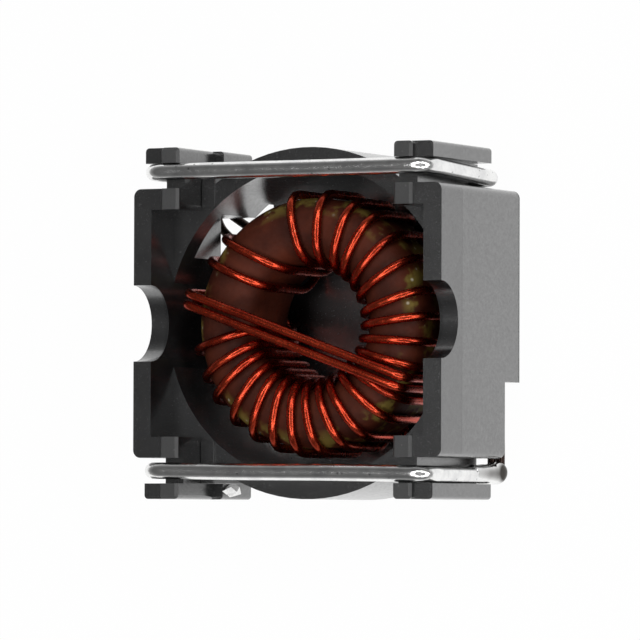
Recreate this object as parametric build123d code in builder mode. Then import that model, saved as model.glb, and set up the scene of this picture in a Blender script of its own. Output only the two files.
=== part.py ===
import os
from math import cos, radians, sin, sqrt

from build123d import *

os.makedirs("parts", exist_ok=True)

# Toroidal inductor on its closed back, open face up, in millimetres.
# X runs along the terminals, Y from the lower to the upper terminal, Z out of the open face.

# Carrier: a square body, a round cup and a pocket for the wound ring
body_depth = 6.9
body_corner_radius = 0.3
rim_height = 5.05
cup_wall = 0.71
floor_thickness = 0.9
overrun = 1.0

# Carrier: side walls above the rim, each with a half-round notch
side_wall = 0.75
notch_radius = 1.45

# Carrier: corner posts with ribs, and tabs beyond the terminal grooves
post_width = 1.96
post_height = 0.8
rib_width = 0.77
rib_proud = 0.13
rib_edge = 0.1
neck_back = 1.25
ledge_width = 0.6
foot_width = 0.38
foot_height = 4.0
groove_width = 0.97
tab_thickness = 0.59
tab_inset = 0.42
tab_recess = 0.15
tab_back = 1.65
tab_edge_radius = 0.15

# Carrier: stepped corners and slots on the back, where the leads leave the pocket
step_start = 2.2
step_width = 2.9
step_height = 1.3
slot_start = 2.6
slot_end = 4.25
slot_width = 2.3
slot_inset = 0.8
slot_height = 4.1

# Terminals: round wire laid across the face and hooked behind the posts
terminal_diameter = 0.63
terminal_proud = 0.25
terminal_bend_radius = 0.6
terminal_neck_gap = 0.295
terminal_tab_gap = 0.01
seat_gap = 0.03
hook_height = 0.85
hook_length = 1.1

# Core and wire
core_diameter = 9.53
core_bore = 4.85
core_height = 4.1
core_edge = 0.35
ring_clearance = 0.625
cup_clearance = 0.845
bevel_share = 2 - sqrt(2)
wire_diameter = 0.34
wire_side_count = 8
wire_gap = 0.02

# Turns: the angle of each turn where it goes over the outer edge of the ring
turn_lean = 6.5
strand_1_start = (138, 115)
strand_1_turns = (82, 55.5, 29, 2.5, -20.5, -47.5, -72, -95, -118.5, -144, -168)
strand_1_crossing = (-194, -25.5)
strand_2_start = (150, 142)
strand_2_turns = (98, 67, 42, 14, -9, -36.5, -61, -84, -106.5, -131, -155)
strand_2_crossing = (-189, -30.5)

# Leads and solder: each pair of leads ends in a bead on one hook
lead_outer_straight = 1.35
lead_inner_straight = 0.85
solder_diameter = 0.96
solder_offset = 0.12
solder_outset = 0.1

# Places that follow from the sizes above
winding_radius = core_diameter / 2 + wire_gap + wire_diameter
body_width = 2 * (winding_radius + ring_clearance + side_wall)
pocket_radius = winding_radius + cup_clearance
cup_radius = pocket_radius + cup_wall
body_height = 2 * (cup_radius - tab_thickness - groove_width)
post_inner = body_width / 2 - post_width
rib_outer = post_inner + rib_width
tab_outer = body_width / 2 - tab_inset
tab_near = body_height / 2 + groove_width
tab_far = tab_near + tab_thickness
post_near = body_height / 2 - post_height
terminal_radius = terminal_diameter / 2
terminal_x = rib_outer + terminal_neck_gap + terminal_radius
terminal_y = tab_near - terminal_tab_gap - terminal_radius
terminal_front = body_depth + terminal_proud - terminal_radius
neck_front = terminal_front - terminal_radius - seat_gap
step_inner = body_width / 2 - step_width
slot_outer = body_width / 2 - slot_inset
wire_radius = wire_diameter / 2
wire_low = floor_thickness + wire_gap + wire_radius
core_base = wire_low + wire_radius + wire_gap
wire_high = core_base + core_height + wire_gap + wire_radius
wire_crossing = wire_high + wire_diameter + wire_gap
wire_inner = core_bore / 2 - wire_gap - wire_radius
wire_outer = core_diameter / 2 + wire_gap + wire_radius
wire_bevel = core_edge + (wire_gap + wire_radius) * bevel_share
bend_inset = terminal_bend_radius * (1 - cos(radians(45)))
solder_x = terminal_x + solder_outset
solder_y = terminal_y - solder_offset
solder_z = hook_height + bend_inset
lead_pitch = wire_diameter + wire_gap
lead_tip = terminal_y - terminal_radius - wire_gap


# Bars at the four corners: inner and outer X, near and far Y, base and top Z
corner_bars = (
    # necks across the terminal grooves
    (post_inner, rib_outer, post_near, tab_near, neck_back, neck_front),
    # tabs beyond the grooves
    (post_inner, tab_outer, tab_near, tab_far, tab_back, body_depth - tab_recess),
    # ribs that stand proud on each side of a groove
    (post_inner, rib_outer, post_near, body_height / 2, rim_height, body_depth + rib_proud),
    (post_inner, rib_outer, tab_near, tab_far, tab_back, body_depth + rib_proud),
    # ledges beside the posts and feet beside the tabs
    (post_inner - ledge_width, post_inner, post_near, body_height / 2, tab_back, rim_height),
    (post_inner - foot_width, post_inner, tab_near, tab_far, tab_back, foot_height),
)

with BuildPart() as carrier:
    with BuildSketch():
        Circle(cup_radius)
        Rectangle(body_width, 2 * cup_radius, mode=Mode.INTERSECT)
        RectangleRounded(body_width, body_height, body_corner_radius)
    extrude(amount=rim_height)

    # Side walls and corner blocks stand on the rim
    with BuildSketch(Plane.XY.offset(rim_height)):
        RectangleRounded(body_width, body_height, body_corner_radius)
        Rectangle(body_width - 2 * side_wall, body_height, mode=Mode.SUBTRACT)
        with GridLocations(post_inner + body_width / 2, post_near + body_height / 2, 2, 2):
            Rectangle(post_width, post_height)
        RectangleRounded(body_width, body_height, body_corner_radius, mode=Mode.INTERSECT)
    extrude(amount=body_depth - rim_height)

    # Necks, tabs, ribs, ledges and feet at the corners
    for inner, outer, near, far, base, top in corner_bars:
        with BuildSketch(Plane.XY.offset(base)):
            with GridLocations(inner + outer, near + far, 2, 2):
                Rectangle(outer - inner, far - near)
        extrude(amount=top - base)

    # Pocket for the wound ring, and the notches in the side walls
    with BuildSketch(Plane.XY.offset(floor_thickness)):
        Circle(pocket_radius)
        Rectangle(body_width - 2 * side_wall, 2 * pocket_radius, mode=Mode.INTERSECT)
    extrude(amount=body_depth, mode=Mode.SUBTRACT)
    with BuildSketch(Plane.YZ.offset(-body_width / 2 - overrun)):
        with Locations((0, body_depth)):
            Circle(notch_radius)
    extrude(amount=body_width + 2 * overrun, mode=Mode.SUBTRACT)

    # Two opposite corners are stepped and slotted at the back for the leads
    for turn in (0, 180):
        with BuildSketch(Plane.XY.rotated((0, 0, turn))):
            with Locations((step_inner, -step_start)):
                Rectangle(body_width, body_height, align=(Align.MIN, Align.MAX))
        extrude(amount=step_height, mode=Mode.SUBTRACT)
        with BuildSketch(Plane.XY.rotated((0, 0, turn))):
            with Locations((slot_outer, -slot_start)):
                Rectangle(slot_width, slot_end - slot_start, align=(Align.MAX, Align.MAX))
        extrude(amount=slot_height, mode=Mode.SUBTRACT)

    # Rounded corners on the tabs' outer faces and broken edges on the ribs
    upright_edges = carrier.edges().filter_by(Axis.Z).group_by(Axis.Y)
    fillet(upright_edges[0] + upright_edges[-1], tab_edge_radius)
    chamfer(carrier.edges().group_by(Axis.Z)[-1].filter_by(Axis.Y), rib_edge)
carrier.part.label = "carrier"
export_step(carrier.part, "parts/carrier.step")


with BuildPart() as core:
    with BuildSketch(Plane.XY.offset(core_base)):
        Circle(core_diameter / 2)
        Circle(core_bore / 2, mode=Mode.SUBTRACT)
    extrude(amount=core_height)
    chamfer(core.edges().filter_by(GeomType.CIRCLE), core_edge)
core.part.label = "core"
export_step(core.part, "parts/core.step")


def terminal_route(side):
    """Corners of one terminal, from hook to hook, on the side of the body given by its sign."""
    depth = side * terminal_y
    hook_end = terminal_x - hook_length
    return (
        (-hook_end, depth, hook_height),
        (-terminal_x, depth, hook_height),
        (-terminal_x, depth, terminal_front),
        (terminal_x, depth, terminal_front),
        (terminal_x, depth, hook_height),
        (hook_end, depth, hook_height),
    )


terminals = {}
for name, side in (("upper_terminal", 1), ("lower_terminal", -1)):
    with BuildPart() as terminal:
        with BuildLine() as path:
            FilletPolyline(*terminal_route(side), radius=terminal_bend_radius)
        with BuildSketch(Plane(origin=path.line @ 0, z_dir=path.line % 0)):
            Circle(terminal_radius)
        sweep(path=path.line)
    terminal.part.label = name
    export_step(terminal.part, f"parts/{name}.step")
    terminals[name] = terminal.part


def ring_point(radius, angle, height):
    return (radius * cos(radians(angle)), radius * sin(radians(angle)), height)


def strand_turns(start, turns, crossing):
    """Corners of one strand: over the face into the bore, under the ring and up again, turn by turn."""
    outer_angles = (start[0], *turns, crossing[0])
    inner_angles = (start[1], *(angle - turn_lean for angle in turns))
    corners = [ring_point(wire_outer, outer_angles[0], wire_low)]
    for inner, here, following in zip(inner_angles, outer_angles, outer_angles[1:]):
        corners.append(ring_point(wire_outer, here, wire_high))
        corners.append(ring_point(wire_inner, inner, wire_high))
        corners.append(ring_point(wire_inner, inner, wire_low))
        corners.append(ring_point(wire_outer, following, wire_low))
    for angle in crossing:
        corners.append(ring_point(wire_outer, angle, wire_crossing))
    corners.append(ring_point(wire_outer, crossing[1], wire_low))
    return corners


def bevelled(corners):
    """The same route with each corner cut off, parallel to the core's broken edges."""
    corners = [Vector(*corner) for corner in corners]
    route = [corners[0]]
    for before, corner, after in zip(corners, corners[1:], corners[2:]):
        route.append(corner + (before - corner).normalized() * wire_bevel)
        route.append(corner + (after - corner).normalized() * wire_bevel)
    route.append(corners[-1])
    return route


def lead_points(side, lane):
    """Tip and elbow of a lead: the upper pair ends at the left, the lower pair at the right."""
    across = solder_x + lane * lead_pitch / 2
    straight = lead_outer_straight if lane > 0 else lead_inner_straight
    tip = (-side * across, side * lead_tip, hook_height)
    elbow = (-side * across, side * (lead_tip - straight), hook_height)
    return tip, elbow


strands = {}
for name, start, turns, crossing, lane in (
    ("winding_strand_1", strand_1_start, strand_1_turns, strand_1_crossing, -1),
    ("winding_strand_2", strand_2_start, strand_2_turns, strand_2_crossing, 1),
):
    start_tip, start_elbow = lead_points(1, lane)
    finish_tip, finish_elbow = lead_points(-1, -lane)
    corners = strand_turns(start, turns, crossing)
    with BuildPart() as strand:
        with BuildLine() as path:
            Polyline(*bevelled((start_tip, start_elbow, *corners, finish_elbow, finish_tip)))
        with BuildSketch(Plane(origin=path.line @ 0, z_dir=path.line % 0)):
            RegularPolygon(wire_radius, wire_side_count)
        sweep(path=path.line, transition=Transition.RIGHT)
    strand.part.label = name
    export_step(strand.part, f"parts/{name}.step")
    strands[name] = strand.part


for name, side in (("upper", 1), ("lower", -1)):
    with BuildPart() as solder:
        with Locations((-side * solder_x, side * solder_y, solder_z)):
            Sphere(solder_diameter / 2)
        add(terminals[f"{name}_terminal"], mode=Mode.SUBTRACT)
        for wound_strand in strands.values():
            add(wound_strand, mode=Mode.SUBTRACT)
    solder.part.label = f"{name}_solder_joint"
    export_step(solder.part, f"parts/{name}_solder_joint.step")
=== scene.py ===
from math import cos, pi, radians, sin

import bpy
from mathutils import Matrix, Vector, noise


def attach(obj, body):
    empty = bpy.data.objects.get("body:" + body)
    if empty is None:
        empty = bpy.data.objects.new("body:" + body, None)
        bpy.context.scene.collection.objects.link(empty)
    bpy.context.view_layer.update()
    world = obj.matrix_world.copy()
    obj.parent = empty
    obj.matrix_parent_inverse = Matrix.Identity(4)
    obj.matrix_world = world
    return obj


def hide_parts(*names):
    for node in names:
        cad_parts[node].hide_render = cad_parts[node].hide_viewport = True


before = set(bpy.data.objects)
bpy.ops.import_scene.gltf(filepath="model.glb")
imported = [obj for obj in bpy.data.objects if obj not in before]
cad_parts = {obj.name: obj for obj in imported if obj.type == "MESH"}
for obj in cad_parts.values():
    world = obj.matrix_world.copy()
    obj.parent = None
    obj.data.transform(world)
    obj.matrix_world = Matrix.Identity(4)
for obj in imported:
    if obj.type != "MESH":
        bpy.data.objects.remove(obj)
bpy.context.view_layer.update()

mm = 0.001
print("frame loaded:", sorted(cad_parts))


def deselectAll():
    if bpy.context.object and bpy.context.object.mode != "OBJECT":
        bpy.ops.object.mode_set(mode="OBJECT")
    bpy.ops.object.select_all(action="DESELECT")


def makeActive(piece):
    deselectAll()
    piece.select_set(True)
    bpy.context.view_layer.objects.active = piece


def applyPlace():
    bpy.ops.object.transform_apply(location=True, rotation=True, scale=True)


def applyModifier(piece, name, kind, **settings):
    makeActive(piece)
    modifier = piece.modifiers.new(name, kind)
    for setting, value in settings.items():
        setattr(modifier, setting, value)
    bpy.ops.object.modifier_apply(modifier=modifier.name)


def joinPieces(pieces, name):
    makeActive(pieces[0])
    for piece in pieces:
        piece.select_set(True)
    bpy.ops.object.join()
    bpy.context.object.name = name
    return bpy.context.object


# the piece takes its finish, rides with the part and may stand for a node
def settle(piece, material, node):
    piece.data.materials.clear()
    piece.data.materials.append(material)
    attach(piece, "root")
    if node:
        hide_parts(node)


# shared effects, as node groups
def newGroup(name, inputs, outputs):
    group = bpy.data.node_groups.new(name, "ShaderNodeTree")
    group.interface.new_socket("Vector", in_out="INPUT", socket_type="NodeSocketVector")
    for label, value in inputs.items():
        socket = group.interface.new_socket(label, in_out="INPUT", socket_type="NodeSocketFloat")
        socket.default_value = value
    for label in outputs:
        group.interface.new_socket(label, in_out="OUTPUT", socket_type="NodeSocketFloat")
    start = group.nodes.new("NodeGroupInput")
    end = group.nodes.new("NodeGroupOutput")
    return group, start, end


def mathNode(tree, operation, first, second=0):
    node = tree.nodes.new("ShaderNodeMath")
    node.operation = operation
    for socket, value in zip(node.inputs, (first, second)):
        if isinstance(value, (int, float)):
            socket.default_value = value
        else:
            tree.links.new(value, socket)
    return node.outputs[0]


# fine grain: a height for the bump, and a value between two ends
def makeFineGrain():
    group, start, end = newGroup("fineGrain", {"Scale": 1000, "Low": 0, "High": 1}, ("Height", "Value"))
    grain = group.nodes.new("ShaderNodeTexNoise")
    grain.inputs["Detail"].default_value = 4
    grain.inputs["Roughness"].default_value = 0.6
    spread = group.nodes.new("ShaderNodeMapRange")
    spread.inputs["From Min"].default_value = 0.3
    spread.inputs["From Max"].default_value = 0.7
    group.links.new(start.outputs["Vector"], grain.inputs["Vector"])
    group.links.new(start.outputs["Scale"], grain.inputs["Scale"])
    group.links.new(grain.outputs["Fac"], spread.inputs["Value"])
    group.links.new(start.outputs["Low"], spread.inputs["To Min"])
    group.links.new(start.outputs["High"], spread.inputs["To Max"])
    group.links.new(grain.outputs["Fac"], end.inputs["Height"])
    group.links.new(spread.outputs["Result"], end.inputs["Value"])
    return group


# soft patches: a mask that covers a share of the surface
def makePatches():
    group, start, end = newGroup("patches", {"Scale": 1000, "Edge": 0.5, "Softness": 0.1}, ("Mask",))
    cloud = group.nodes.new("ShaderNodeTexNoise")
    cloud.inputs["Detail"].default_value = 5
    cloud.inputs["Roughness"].default_value = 0.55
    spread = group.nodes.new("ShaderNodeMapRange")
    spread.interpolation_type = "SMOOTHSTEP"
    group.links.new(start.outputs["Vector"], cloud.inputs["Vector"])
    group.links.new(start.outputs["Scale"], cloud.inputs["Scale"])
    group.links.new(cloud.outputs["Fac"], spread.inputs["Value"])
    low = mathNode(group, "SUBTRACT", start.outputs["Edge"], start.outputs["Softness"])
    high = mathNode(group, "ADD", start.outputs["Edge"], start.outputs["Softness"])
    group.links.new(low, spread.inputs["From Min"])
    group.links.new(high, spread.inputs["From Max"])
    group.links.new(spread.outputs["Result"], end.inputs["Mask"])
    return group


# specks: a few small dots, one in some of the cells
def makeSpecks():
    group, start, end = newGroup("specks", {"Scale": 1000, "Share": 0.1, "Size": 0.2}, ("Mask",))
    cells = group.nodes.new("ShaderNodeTexVoronoi")
    split = group.nodes.new("ShaderNodeSeparateColor")
    dot = group.nodes.new("ShaderNodeMapRange")
    dot.inputs["From Min"].default_value = 0
    dot.inputs["To Min"].default_value = 1
    dot.inputs["To Max"].default_value = 0
    group.links.new(start.outputs["Vector"], cells.inputs["Vector"])
    group.links.new(start.outputs["Scale"], cells.inputs["Scale"])
    group.links.new(cells.outputs["Color"], split.inputs["Color"])
    group.links.new(cells.outputs["Distance"], dot.inputs["Value"])
    group.links.new(start.outputs["Size"], dot.inputs["From Max"])
    kept = mathNode(group, "LESS_THAN", split.outputs["Red"], start.outputs["Share"])
    group.links.new(mathNode(group, "MULTIPLY", kept, dot.outputs["Result"]), end.inputs["Mask"])
    return group


fineGrain = makeFineGrain()
patches = makePatches()
specks = makeSpecks()


def newMaterial(name, settings):
    material = bpy.data.materials.new(name)
    material.use_nodes = True
    shader = material.node_tree.nodes["Principled BSDF"]
    for socket, value in settings.items():
        shader.inputs[socket].default_value = value
    place = material.node_tree.nodes.new("ShaderNodeTexCoord")
    return material, material.node_tree, shader, place.outputs["Object"]


def useGroup(tree, group, place, settings):
    node = tree.nodes.new("ShaderNodeGroup")
    node.node_tree = group
    tree.links.new(place, node.inputs["Vector"])
    for socket, value in settings.items():
        node.inputs[socket].default_value = value
    return node


def mixColours(tree, mask, first, second):
    mix = tree.nodes.new("ShaderNodeMixRGB")
    tree.links.new(mask, mix.inputs["Fac"])
    for socket, value in (("Color1", first), ("Color2", second)):
        if isinstance(value, tuple):
            mix.inputs[socket].default_value = (*value, 1)
        else:
            tree.links.new(value, mix.inputs[socket])
    return mix.outputs["Color"]


def splitPlace(tree, place):
    split = tree.nodes.new("ShaderNodeSeparateXYZ")
    tree.links.new(place, split.inputs[0])
    return split.outputs


# nothing up to the start, all from the full value on
def fadeIn(tree, value, start, full):
    fade = tree.nodes.new("ShaderNodeMapRange")
    fade.inputs["From Min"].default_value = start
    fade.inputs["From Max"].default_value = full
    tree.links.new(value, fade.inputs["Value"])
    return fade.outputs["Result"]


# distance from the ring's axis
def fromAxis(tree, axes):
    squareX = mathNode(tree, "MULTIPLY", axes["X"], axes["X"])
    squareY = mathNode(tree, "MULTIPLY", axes["Y"], axes["Y"])
    return mathNode(tree, "SQRT", mathNode(tree, "ADD", squareX, squareY))


def finishMaterial(tree, shader, colour, roughness, height, look):
    tree.links.new(colour, shader.inputs["Base Color"])
    tree.links.new(roughness, shader.inputs["Roughness"])
    bump = tree.nodes.new("ShaderNodeBump")
    bump.inputs["Distance"].default_value = look["bumpDepth"]
    bump.inputs["Strength"].default_value = look["bumpStrength"]
    tree.links.new(height, bump.inputs["Height"])
    tree.links.new(bump.outputs["Normal"], shader.inputs["Normal"])


# black moulding: plastic with cloudy tone, dust and a parting line round the outside
mouldingLook = {
    "shine": {"IOR": 1.6, "Specular IOR Level": 1, "Coat IOR": 1.6, "Coat Roughness": 0.22},
    "dark": (0.006, 0.006, 0.0064),
    "pale": (0.014, 0.014, 0.0145),
    "tone": {"Scale": 700, "Edge": 0.5, "Softness": 0.2},
    "dustColour": (0.09, 0.09, 0.09),
    "dust": {"Scale": 7500, "Share": 0.10, "Size": 0.32},
    "grain": {"Scale": 16000, "Low": 0.18, "High": 0.28},   # roughness
    "mottle": {"Scale": 9000, "Low": 0.45, "High": 1.0},    # gloss of the skin
    "bumpDepth": 0.006 * mm,
    "bumpStrength": 0.5,
    "lineColour": (0.03, 0.03, 0.03),
    "lineHeight": 5.1 * mm,
    "lineWidth": 0.05 * mm,
    "lineStart": 6.45 * mm,     # the parting line is on the outside only
    "lineDull": 0.85,
    "aboveDull": 0.30,          # the strip between the line and the face is a little duller
    "pocketRadius": 5.9 * mm,
    "pocketBase": 0.2 * mm,     # the pocket is above this, the closed back below
    "pocketGloss": 0.05,        # share of the gloss left in the pocket and on the ribs
    "ribBase": 6.91 * mm,       # the ribs stand above this and are rubbed dull
    "ribRoughness": 0.4,
}


def makeMoulding():
    look = mouldingLook
    material, tree, shader, place = newMaterial("blackMoulding", look["shine"])
    tone = useGroup(tree, patches, place, look["tone"])
    dust = useGroup(tree, specks, place, look["dust"])
    grain = useGroup(tree, fineGrain, place, look["grain"])
    mottle = useGroup(tree, fineGrain, place, look["mottle"])
    axes = splitPlace(tree, place)
    outside = mathNode(tree, "ABSOLUTE", axes["X"])
    outside = mathNode(tree, "GREATER_THAN", outside, look["lineStart"])
    offLine = mathNode(tree, "SUBTRACT", axes["Z"], look["lineHeight"])
    offLine = mathNode(tree, "ABSOLUTE", offLine)
    onLine = mathNode(tree, "LESS_THAN", offLine, look["lineWidth"] / 2)
    onLine = mathNode(tree, "MULTIPLY", onLine, outside)
    aboveLine = mathNode(tree, "GREATER_THAN", axes["Z"], look["lineHeight"])
    aboveLine = mathNode(tree, "MULTIPLY", aboveLine, outside)
    inPocket = mathNode(tree, "LESS_THAN", fromAxis(tree, axes), look["pocketRadius"])
    offBack = mathNode(tree, "GREATER_THAN", axes["Z"], look["pocketBase"])
    inPocket = mathNode(tree, "MULTIPLY", inPocket, offBack)
    onRib = mathNode(tree, "GREATER_THAN", axes["Z"], look["ribBase"])
    rubbed = mathNode(tree, "MULTIPLY", onRib, look["ribRoughness"])
    roughness = mathNode(tree, "ADD", grain.outputs["Value"], rubbed)
    dulled = mathNode(tree, "MULTIPLY", onLine, look["lineDull"])
    aboveDull = mathNode(tree, "MULTIPLY", aboveLine, look["aboveDull"])
    for dullPlace in (aboveDull, onRib, inPocket):
        dulled = mathNode(tree, "MAXIMUM", dulled, dullPlace)
    glossLost = mathNode(tree, "MULTIPLY", dulled, 1 - look["pocketGloss"])
    glossLeft = mathNode(tree, "SUBTRACT", 1, glossLost)
    gloss = mathNode(tree, "MULTIPLY", mottle.outputs["Value"], glossLeft)
    tree.links.new(gloss, shader.inputs["Coat Weight"])
    colour = mixColours(tree, tone.outputs["Mask"], look["dark"], look["pale"])
    colour = mixColours(tree, dust.outputs["Mask"], colour, look["dustColour"])
    colour = mixColours(tree, onLine, colour, look["lineColour"])
    finishMaterial(tree, shader, colour, roughness, grain.outputs["Height"], look)
    return material


# enamelled copper: dark red varnish over copper, thinner in places, with painted shade on the leads low
# down at the back
enamelLook = {
    "shine": {"Metallic": 1, "Coat Weight": 0.12, "Coat Roughness": 0.12},
    "deep": (0.36, 0.032, 0.013),
    "thin": (0.62, 0.068, 0.026),
    "tone": {"Scale": 900, "Edge": 0.5, "Softness": 0.22},
    "nickColour": (0.75, 0.22, 0.10),
    "nicks": {"Scale": 4200, "Share": 0.07, "Size": 0.22},
    "grain": {"Scale": 9000, "Low": 0.23, "High": 0.31},    # roughness
    "bumpDepth": 0.008 * mm,
    "bumpStrength": 0.4,
    # painted shade: the leads low down at the back are darkened to this colour, as if in shade
    "leadShade": (0.035, 0.022, 0.018),
    "leadShadeStart": 2.6 * mm,     # from here out along the leads
    "leadShadeFull": 3.4 * mm,
    "leadShadeBelow": 1.4 * mm,
}


def makeEnamel():
    look = enamelLook
    material, tree, shader, place = newMaterial("redEnamel", look["shine"])
    tone = useGroup(tree, patches, place, look["tone"])
    nicks = useGroup(tree, specks, place, look["nicks"])
    grain = useGroup(tree, fineGrain, place, look["grain"])
    axes = splitPlace(tree, place)
    # painted shade: a dark colour on the leads low down at the back, standing in for their shade
    alongLead = mathNode(tree, "ABSOLUTE", axes["Y"])
    alongLead = fadeIn(tree, alongLead, look["leadShadeStart"], look["leadShadeFull"])
    lowDown = mathNode(tree, "LESS_THAN", axes["Z"], look["leadShadeBelow"])
    leadShade = mathNode(tree, "MULTIPLY", alongLead, lowDown)
    colour = mixColours(tree, tone.outputs["Mask"], look["deep"], look["thin"])
    colour = mixColours(tree, nicks.outputs["Mask"], colour, look["nickColour"])
    colour = mixColours(tree, leadShade, colour, look["leadShade"])
    finishMaterial(tree, shader, colour, grain.outputs["Value"], grain.outputs["Height"], look)
    return material


# tinned wire and solder: bright metal, dulled and uneven
tinLook = {
    "bright": (0.92, 0.92, 0.91),
    "dull": (0.74, 0.74, 0.74),
    "tone": {"Scale": 1300, "Edge": 0.55, "Softness": 0.18},
    "pitColour": (0.12, 0.12, 0.12),
    "pits": {"Scale": 5200, "Share": 0.10, "Size": 0.28},
    "grain": {"Scale": 6000, "Low": 0.14, "High": 0.26},    # roughness
    "bumpDepth": 0.004 * mm,
    "bumpStrength": 0.5,
    "outerDark": (0.40, 0.40, 0.40),
    "outerDarkStart": 6.22 * mm,    # the legs' outermost sides are darker from here out
    "outerDarkFull": 6.5 * mm,
}
solderLook = {
    "bright": (0.93, 0.93, 0.92),
    "dull": (0.78, 0.78, 0.78),
    "tone": {"Scale": 1300, "Edge": 0.55, "Softness": 0.18},
    "pitColour": (0.4, 0.39, 0.37),
    "pits": {"Scale": 5200, "Share": 0.10, "Size": 0.28},
    "grain": {"Scale": 6000, "Low": 0.12, "High": 0.26},    # roughness
    "bumpDepth": 0.008 * mm,
    "bumpStrength": 0.5,
    "outerDark": (0.07, 0.065, 0.06),
    "outerDarkStart": 6.20 * mm,    # the outermost side of a bead is darker from here out
    "outerDarkFull": 6.34 * mm,
}


def makeTinned(name, look):
    material, tree, shader, place = newMaterial(name, {"Metallic": 1})
    tone = useGroup(tree, patches, place, look["tone"])
    pits = useGroup(tree, specks, place, look["pits"])
    grain = useGroup(tree, fineGrain, place, look["grain"])
    outward = mathNode(tree, "ABSOLUTE", splitPlace(tree, place)["X"])
    outerDarkened = fadeIn(tree, outward, look["outerDarkStart"], look["outerDarkFull"])
    colour = mixColours(tree, tone.outputs["Mask"], look["bright"], look["dull"])
    colour = mixColours(tree, pits.outputs["Mask"], colour, look["pitColour"])
    colour = mixColours(tree, outerDarkened, colour, look["outerDark"])
    finishMaterial(tree, shader, colour, grain.outputs["Value"], grain.outputs["Height"], look)
    return material


# core paint: a dark red-brown coat that is painted shade, standing in for the shade the turns cast on
# the faces, with olive-yellow paint and pale specks left along the outer rim
paintLook = {
    "shine": {"Specular IOR Level": 0.2},
    # painted shade: these dark red-brown base colours stand in for the shade between the turns
    "faceShade": (0.044, 0.008, 0.003),
    "faceShadeLight": (0.095, 0.019, 0.0075),
    "tone": {"Scale": 800, "Edge": 0.5, "Softness": 0.2},
    "rimColour": (0.19, 0.14, 0.03),
    "rimPaint": {"Scale": 900, "Edge": 0.55, "Softness": 0.05},
    "rimStart": 4.1 * mm,
    "rimFull": 4.5 * mm,
    "paleSpeckColour": (0.75, 0.73, 0.62),
    "paleSpecks": {"Scale": 4200, "Share": 0.22, "Size": 0.34},
    "grain": {"Scale": 7000, "Low": 0.5, "High": 0.75},     # roughness
    "bumpDepth": 0.02 * mm,
    "bumpStrength": 0.5,
}


def makeCorePaint():
    look = paintLook
    material, tree, shader, place = newMaterial("corePaint", look["shine"])
    tone = useGroup(tree, patches, place, look["tone"])
    paint = useGroup(tree, patches, place, look["rimPaint"])
    paleSpecks = useGroup(tree, specks, place, look["paleSpecks"])
    grain = useGroup(tree, fineGrain, place, look["grain"])
    radius = fromAxis(tree, splitPlace(tree, place))
    rim = fadeIn(tree, radius, look["rimStart"], look["rimFull"])
    painted = mathNode(tree, "MULTIPLY", rim, paint.outputs["Mask"])
    paleSpecked = mathNode(tree, "MULTIPLY", painted, paleSpecks.outputs["Mask"])
    # painted shade between the turns, as the base colour
    colour = mixColours(tree, tone.outputs["Mask"], look["faceShade"], look["faceShadeLight"])
    colour = mixColours(tree, painted, colour, look["rimColour"])
    colour = mixColours(tree, paleSpecked, colour, look["paleSpeckColour"])
    finishMaterial(tree, shader, colour, grain.outputs["Value"], grain.outputs["Height"], look)
    return material


moulding = makeMoulding()
enamel = makeEnamel()
tinnedRod = makeTinned("tinnedRod", tinLook)
solder = makeTinned("solder", solderLook)
corePaint = makeCorePaint()
print("materials made")


# carrier: the solid itself, with ledges that run on under the terminals, from the body to the tabs
ledgeLook = {
    "centre": (4.24, 5.3, 3.385),       # in mm
    "size": (0.58, 1.58, 3.47),
    "edge": 0.03 * mm,
    "edgeSteps": 2,
}
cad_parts["carrier"].data.materials.clear()
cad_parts["carrier"].data.materials.append(moulding)
ledgeBlocks = []
for sideX, sideY in ((-1, -1), (-1, 1), (1, -1), (1, 1)):
    across, along, height = ledgeLook["centre"]
    blockCentre = Vector((sideX * across, sideY * along, height)) * mm
    deselectAll()
    bpy.ops.mesh.primitive_cube_add(size=1, location=blockCentre)
    block = bpy.context.object
    block.scale = Vector(ledgeLook["size"]) * mm
    applyPlace()
    applyModifier(
        block, "brokenEdges", "BEVEL", width=ledgeLook["edge"], segments=ledgeLook["edgeSteps"],
    )
    ledgeBlocks.append(block)
ledges = joinPieces(ledgeBlocks, "carrier.ledges")
settle(ledges, moulding, None)
print("carrier dressed, ledges added")


# core: a rounded section spun round the axis
coreLook = {
    "innerRadius": 2.425 * mm,
    "outerRadius": 4.765 * mm,
    "base": 1.28 * mm,
    "height": 4.1 * mm,
    "edge": 0.95 * mm,
    "edgeSteps": 6,
    "roundSteps": 120,
    "weld": 0.001 * mm,
}
coreWidth = coreLook["outerRadius"] - coreLook["innerRadius"]
deselectAll()
bpy.ops.mesh.primitive_plane_add(size=1, rotation=(pi / 2, 0, 0), location=(0, 0, 0))
core = bpy.context.object
core.name = "core.painted"
core.scale = (coreWidth, coreLook["height"], 1)
core.location.x = coreLook["innerRadius"] + coreWidth / 2
core.location.z = coreLook["base"] + coreLook["height"] / 2
applyPlace()
bpy.ops.object.mode_set(mode="EDIT")
bpy.ops.mesh.select_all(action="SELECT")
bpy.ops.mesh.bevel(offset=coreLook["edge"], segments=coreLook["edgeSteps"], affect="VERTICES")
bpy.ops.mesh.select_all(action="SELECT")
bpy.ops.mesh.delete(type="ONLY_FACE")       # the outline alone is spun
bpy.ops.mesh.select_all(action="SELECT")
bpy.ops.mesh.spin(steps=coreLook["roundSteps"], angle=2 * pi, center=(0, 0, 0), axis=(0, 0, 1))
bpy.ops.mesh.select_all(action="SELECT")
bpy.ops.mesh.remove_doubles(threshold=coreLook["weld"])
bpy.ops.mesh.normals_make_consistent(inside=False)
bpy.ops.object.mode_set(mode="OBJECT")
bpy.ops.object.shade_smooth()
settle(core, corePaint, "core")
print("core spun,", len(core.data.polygons), "faces")


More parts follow.
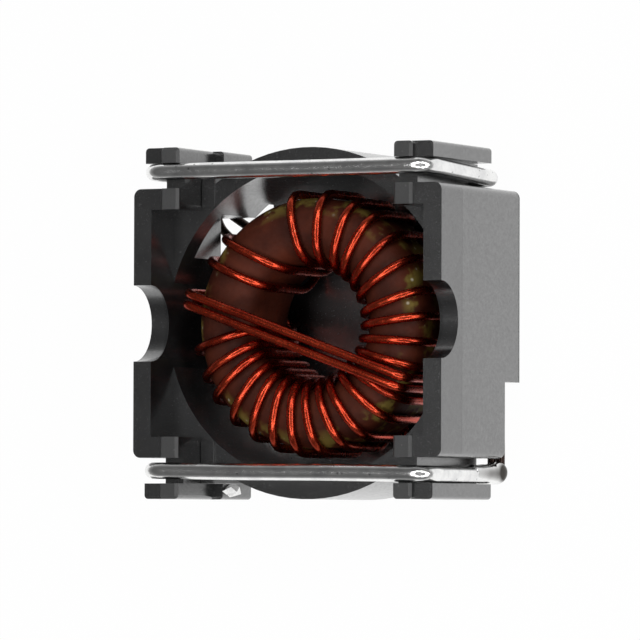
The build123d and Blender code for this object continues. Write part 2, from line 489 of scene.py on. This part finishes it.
# a round wire along a route of corners, each with the length of run that its bend takes up
def layWire(name, route, look):
    circlePull = 0.5523     # makes a bend a quarter of a circle
    runPull = 0.2           # keeps the runs straight
    knots = [(route[0][0],) * 3]
    for (before, _), (corner, bend), (after, _) in zip(route, route[1:], route[2:]):
        for neighbour, turnIn in ((before, True), (after, False)):
            run = (neighbour - corner).normalized() * bend
            place = corner + run
            toCorner = corner + run * (1 - circlePull)
            away = corner + run * (1 + runPull)
            knots.append((place, away, toCorner) if turnIn else (place, toCorner, away))
    knots.append((route[-1][0],) * 3)
    deselectAll()
    bpy.ops.curve.primitive_bezier_curve_add(location=(0, 0, 0))
    wire = bpy.context.object
    wire.name = name
    spline = wire.data.splines[0]
    spline.bezier_points.add(len(knots) - len(spline.bezier_points))
    for point, (place, left, right) in zip(spline.bezier_points, knots):
        point.handle_left_type = point.handle_right_type = "FREE"
        point.co, point.handle_left, point.handle_right = place, left, right
    wire.data.dimensions = "3D"
    wire.data.resolution_u = look["smoothness"]
    wire.data.bevel_depth = look["radius"]
    wire.data.bevel_resolution = look["smoothness"]
    wire.data.use_fill_caps = True
    makeActive(wire)
    bpy.ops.object.convert(target="MESH")
    bpy.ops.object.shade_smooth()
    return wire


# enamelled wire: the same turns as in the solids, as round wire with curved bends
wireLook = {
    "radius": 0.17 * mm,
    "smoothness": 5,
    "innerCircle": 2.235 * mm,
    "outerCircle": 4.955 * mm,
    "low": 1.09 * mm,
    "high": 5.57 * mm,
    "crossing": 5.93 * mm,
    "lean": 6.5,            # degrees that a turn leans on the face
    "turnBend": 1.14 * mm,  # length of run taken up by a bend round the core
    "leadBend": 0.46 * mm,
    "leadAcross": 5.93 * mm,
    "leadTip": 5.43 * mm,
    "leadHeight": 0.85 * mm,
    "leadPitch": 0.36 * mm,
    "leadStraight": {1: 1.35 * mm, -1: 0.85 * mm},      # by lane: the outer lead, the inner lead
    "winding_strand_1": {   # in degrees round the ring
        "start": (138, 115),
        "turns": (82, 55.5, 29, 2.5, -20.5, -47.5, -72, -95, -118.5, -144, -168),
        "finish": (-194, -25.5),
        "lane": -1,
    },
    "winding_strand_2": {
        "start": (150, 142),
        "turns": (98, 67, 42, 14, -9, -36.5, -61, -84, -106.5, -131, -155),
        "finish": (-189, -30.5),
        "lane": 1,
    },
}


def ringCorner(circle, angle, height, bend):
    return Vector((circle * cos(radians(angle)), circle * sin(radians(angle)), height)), bend


def leadCorners(side, lane):
    across = -side * (wireLook["leadAcross"] + lane * wireLook["leadPitch"] / 2)
    tip = wireLook["leadTip"]
    elbow = tip - wireLook["leadStraight"][lane]
    height, bend = wireLook["leadHeight"], wireLook["leadBend"]
    return [(Vector((across, side * reach, height)), bend) for reach in (tip, elbow)]


def strandCorners(strand):
    low, high, over = wireLook["low"], wireLook["high"], wireLook["crossing"]
    inner, outer = wireLook["innerCircle"], wireLook["outerCircle"]
    turnBend, leadBend = wireLook["turnBend"], wireLook["leadBend"]
    outerAngles = (strand["start"][0], *strand["turns"], strand["finish"][0])
    innerAngles = (strand["start"][1], *(angle - wireLook["lean"] for angle in strand["turns"]))
    corners = leadCorners(1, strand["lane"])
    corners.append(ringCorner(outer, outerAngles[0], low, leadBend))
    for innerAngle, here, following in zip(innerAngles, outerAngles, outerAngles[1:]):
        corners.append(ringCorner(outer, here, high, turnBend))
        corners.append(ringCorner(inner, innerAngle, high, turnBend))
        corners.append(ringCorner(inner, innerAngle, low, turnBend))
        corners.append(ringCorner(outer, following, low, turnBend))
    corners.extend(ringCorner(outer, angle, over, leadBend) for angle in strand["finish"])
    corners.append(ringCorner(outer, strand["finish"][1], low, leadBend))
    corners.extend(reversed(leadCorners(-1, -strand["lane"])))
    return corners


for name in ("winding_strand_1", "winding_strand_2"):
    wire = layWire(name + ".wound", strandCorners(wireLook[name]), wireLook)
    settle(wire, enamel, name)
print("strands wound")


# terminals: hand-bent rods, the lower one laid a little askew
rodLook = {
    "radius": 0.315 * mm,
    "smoothness": 8,
    "upper_terminal": (     # corners in mm, each with the length of run that its bend takes up
        (-4.82, 5.765, 0.85, 0), (-5.92, 5.765, 0.85, 0.6), (-5.92, 5.765, 6.835, 0.62),
        (-1.0, 5.755, 6.835, 1.5), (5.90, 5.765, 6.835, 0.62),
        (5.88, 5.54, 0.92, 0.6), (4.82, 5.54, 0.91, 0),
    ),
    "lower_terminal": (
        (-4.82, -5.62, 0.85, 0), (-5.92, -5.62, 0.85, 0.6), (-5.92, -5.60, 6.835, 0.62),
        (-1.5, -5.66, 6.835, 1.5), (2.5, -5.69, 6.835, 1.5), (5.92, -5.75, 6.835, 0.62),
        (5.92, -5.755, 0.85, 0.6), (4.82, -5.755, 0.85, 0),
    ),
}
for name in ("upper_terminal", "lower_terminal"):
    rodRoute = [(Vector(corner[:3]) * mm, corner[3] * mm) for corner in rodLook[name]]
    rod = layWire(name + ".bent", rodRoute, rodLook)
    settle(rod, tinnedRod, name)
print("terminals bent")


# solder: a bead over the lead ends that runs up the leg and along the hook, melted into one lump
beadLook = {
    "upper_solder_joint": {     # in mm
        "side": 1,
        "balls": (              # across, along, height, radius
            (6.0, 5.645, 1.03, 0.45), (5.6, 5.745, 0.87, 0.37), (5.45, 5.75, 0.87, 0.35),
        ),
        "sleeve": (5.93, 5.705, 1.1, 2.2, 0.40, 0.325),     # across, along, base, top, two radii
    },
    "lower_solder_joint": {
        "side": -1,
        "balls": (
            (6.0, 5.645, 1.03, 0.45), (5.6, 5.745, 0.88, 0.38), (5.45, 5.75, 0.87, 0.36),
        ),
        "sleeve": (5.94, 5.69, 1.1, 3.1, 0.41, 0.32),
    },
    "ballSides": 32,
    "ballRings": 16,
    "sleeveSides": 48,
    "voxel": 0.03 * mm,
    "flow": 0.5,
    "flowSteps": 25,
    "lumps": 0.010 * mm,
    "lumpScale": 2600,
}


def meltBead(name, bead):
    side = bead["side"]
    drops = []
    for across, along, height, radius in bead["balls"]:
        deselectAll()
        bpy.ops.mesh.primitive_uv_sphere_add(
            segments=beadLook["ballSides"], ring_count=beadLook["ballRings"], radius=radius * mm,
            location=Vector((-side * across, side * along, height)) * mm,
        )
        drops.append(bpy.context.object)
    across, along, base, top, baseRadius, topRadius = (value * mm for value in bead["sleeve"])
    deselectAll()
    bpy.ops.mesh.primitive_cone_add(
        vertices=beadLook["sleeveSides"], radius1=baseRadius, radius2=topRadius, depth=top - base,
        location=(-side * across, side * along, (base + top) / 2),
    )
    drops.append(bpy.context.object)
    lump = joinPieces(drops, name + ".melted")
    applyPlace()
    applyModifier(lump, "melt", "REMESH", mode="VOXEL", voxel_size=beadLook["voxel"])
    applyModifier(lump, "flow", "SMOOTH", factor=beadLook["flow"], iterations=beadLook["flowSteps"])
    for vertex in lump.data.vertices:
        height = noise.noise(vertex.co * beadLook["lumpScale"])
        vertex.co += vertex.normal * height * beadLook["lumps"]
    makeActive(lump)
    bpy.ops.object.shade_smooth()
    return lump


for name in ("upper_solder_joint", "lower_solder_joint"):
    bead = meltBead(name, beadLook[name])
    settle(bead, solder, name)
print("solder melted")


# a splash of solder on the foot of the lower left tab
splashLook = {
    "place": (-4.13, -6.33, 3.3),   # in mm
    "size": (0.09, 0.23, 0.72),
    "rounds": 3,
    "lumps": 0.3,
    "lumpScale": 1.7,
    "facetShare": 0.14,
}
deselectAll()
bpy.ops.mesh.primitive_ico_sphere_add(subdivisions=splashLook["rounds"], radius=1, location=(0, 0, 0))
splash = bpy.context.object
splash.name = "solder_splash"
for vertex in splash.data.vertices:
    vertex.co *= 1 + noise.noise(vertex.co * splashLook["lumpScale"]) * splashLook["lumps"]
splash.scale = Vector(splashLook["size"]) * mm
splash.location = Vector(splashLook["place"]) * mm
applyPlace()
applyModifier(splash, "facets", "DECIMATE", ratio=splashLook["facetShare"])
settle(splash, solder, None)
print("splash set")


# white floor, and surroundings that are white to the camera and grey in reflections
stageLook = {
    "floorSize": 2.0,
    "floorDrop": 0.02 * mm,     # just under the carrier's closed back
    "floorColour": (0.9, 0.9, 0.9, 1),
    "floorRoughness": 0.9,
    "floorGlow": 0.98,          # for the camera
    "floorShine": 0.95,         # in reflections
    "shineBeyond": 0.12 * mm,   # but not right under the carrier
    "backdrop": (1, 1, 1),
    "horizon": (0.3, 0.3, 0.3, 1),
    "horizonTop": 0.1,
    "ceiling": (0.10, 0.10, 0.10, 1),
    "ceilingBase": 0.5,
}


def mixShaders(tree, mask, first, second):
    mix = tree.nodes.new("ShaderNodeMixShader")
    tree.links.new(mask, mix.inputs["Fac"])
    tree.links.new(first.outputs[0], mix.inputs[1])
    tree.links.new(second.outputs[0], mix.inputs[2])
    return mix


def makeWhiteFloor():
    material = bpy.data.materials.new("whiteFloor")
    material.use_nodes = True
    tree = material.node_tree
    shader = tree.nodes["Principled BSDF"]
    shader.inputs["Base Color"].default_value = stageLook["floorColour"]
    shader.inputs["Roughness"].default_value = stageLook["floorRoughness"]
    glow = tree.nodes.new("ShaderNodeEmission")
    glow.inputs["Strength"].default_value = 1
    rays = tree.nodes.new("ShaderNodeLightPath").outputs
    mirrored = mathNode(tree, "MAXIMUM", rays["Is Glossy Ray"], rays["Is Transmission Ray"])
    mirrored = mathNode(tree, "MULTIPLY", mirrored, stageLook["floorShine"])
    clearOfPart = mathNode(tree, "GREATER_THAN", rays["Ray Length"], stageLook["shineBeyond"])
    mirrored = mathNode(tree, "MULTIPLY", mirrored, clearOfPart)
    direct = mathNode(tree, "MULTIPLY", rays["Is Camera Ray"], stageLook["floorGlow"])
    lit = mixShaders(tree, mathNode(tree, "MAXIMUM", mirrored, direct), shader, glow)
    # seen from underneath the floor is clear, so that the back of the carrier shows
    whichSide = tree.nodes.new("ShaderNodeNewGeometry")
    clear = tree.nodes.new("ShaderNodeBsdfTransparent")
    oneWay = mixShaders(tree, whichSide.outputs["Backfacing"], lit, clear)
    tree.links.new(oneWay.outputs[0], tree.nodes["Material Output"].inputs["Surface"])
    return material


def lightSurroundings():
    world = bpy.context.scene.world or bpy.data.worlds.new("surroundings")
    bpy.context.scene.world = world
    world.use_nodes = True
    tree = world.node_tree
    background = tree.nodes["Background"]
    background.inputs["Strength"].default_value = 1
    direction = tree.nodes.new("ShaderNodeTexCoord").outputs["Generated"]
    ramp = tree.nodes.new("ShaderNodeValToRGB")
    lowEnd, highEnd = ramp.color_ramp.elements
    lowEnd.position, lowEnd.color = stageLook["horizonTop"], stageLook["horizon"]
    highEnd.position, highEnd.color = stageLook["ceilingBase"], stageLook["ceiling"]
    tree.links.new(splitPlace(tree, direction)["Z"], ramp.inputs[0])
    rays = tree.nodes.new("ShaderNodeLightPath").outputs
    colour = mixColours(tree, rays["Is Camera Ray"], ramp.outputs[0], stageLook["backdrop"])
    tree.links.new(colour, background.inputs["Color"])


deselectAll()
bpy.ops.mesh.primitive_plane_add(
    size=stageLook["floorSize"], location=(0, 0, -stageLook["floorDrop"]),
)
floor = bpy.context.object
floor.name = "floor"
floor.data.materials.append(makeWhiteFloor())
lightSurroundings()
print("floor and surroundings set")


# camera at the photograph's angle, with a long lens
cameraLook = {
    "towards": (0.450, -0.0356, 0.8923),
    "roll": 0.18,
    "faceCentre": (0, 0, 6.9 * mm),
    "faceCentrePixel": (285.5, 321.3),
    "frame": 640,
    "focal": 6007,          # in pixels
    "distance": 226 * mm,
    "nearest": 10 * mm,
    "sensor": 36,
}
towards = Vector(cameraLook["towards"]).normalized()
level = Vector((0, 1, 0)).cross(towards).normalized()
upright = towards.cross(level)
roll = radians(cameraLook["roll"])
cameraRight = level * cos(roll) + upright * sin(roll)
cameraUp = upright * cos(roll) - level * sin(roll)
pixelSize = cameraLook["distance"] / cameraLook["focal"]
pixelX, pixelY = cameraLook["faceCentrePixel"]
aim = Vector(cameraLook["faceCentre"])
aim += cameraRight * (cameraLook["frame"] / 2 - pixelX) * pixelSize
aim += cameraUp * (pixelY - cameraLook["frame"] / 2) * pixelSize
deselectAll()
bpy.ops.object.camera_add(location=aim + towards * cameraLook["distance"])
camera = bpy.context.object
camera.rotation_euler = Matrix((cameraRight, cameraUp, towards)).transposed().to_euler()
camera.data.sensor_width = cameraLook["sensor"]
camera.data.lens = cameraLook["sensor"] * cameraLook["focal"] / cameraLook["frame"]
camera.data.clip_start = cameraLook["nearest"]
bpy.context.scene.camera = camera
bpy.context.scene.view_settings.view_transform = "Standard"
print("camera set")


# lamps: a ring round the lens, as on a macro stand
ringLook = {
    "count": 10,
    "spread": 34,           # degrees off the camera's axis
    "distance": 0.30,
    "size": 0.065,
    "power": 0.08,
    "middleSize": 0.16,     # the weak light inside the ring
    "middlePower": 0.02,
}


def addLamp(name, outward, size, power):
    deselectAll()
    bpy.ops.object.light_add(type="AREA", location=outward * ringLook["distance"])
    lamp = bpy.context.object
    lamp.name = name
    lamp.data.size = size
    lamp.data.energy = power
    lamp.rotation_euler = outward.to_track_quat("Z", "Y").to_euler()


spread = radians(ringLook["spread"])
for lampNumber in range(ringLook["count"]):
    roundLens = 2 * pi * lampNumber / ringLook["count"]
    aside = cameraRight * cos(roundLens) + cameraUp * sin(roundLens)
    outward = towards * cos(spread) + aside * sin(spread)
    addLamp("ringLamp" + str(lampNumber), outward, ringLook["size"], ringLook["power"])
addLamp("middleLamp", towards, ringLook["middleSize"], ringLook["middlePower"])
print("lamps set")
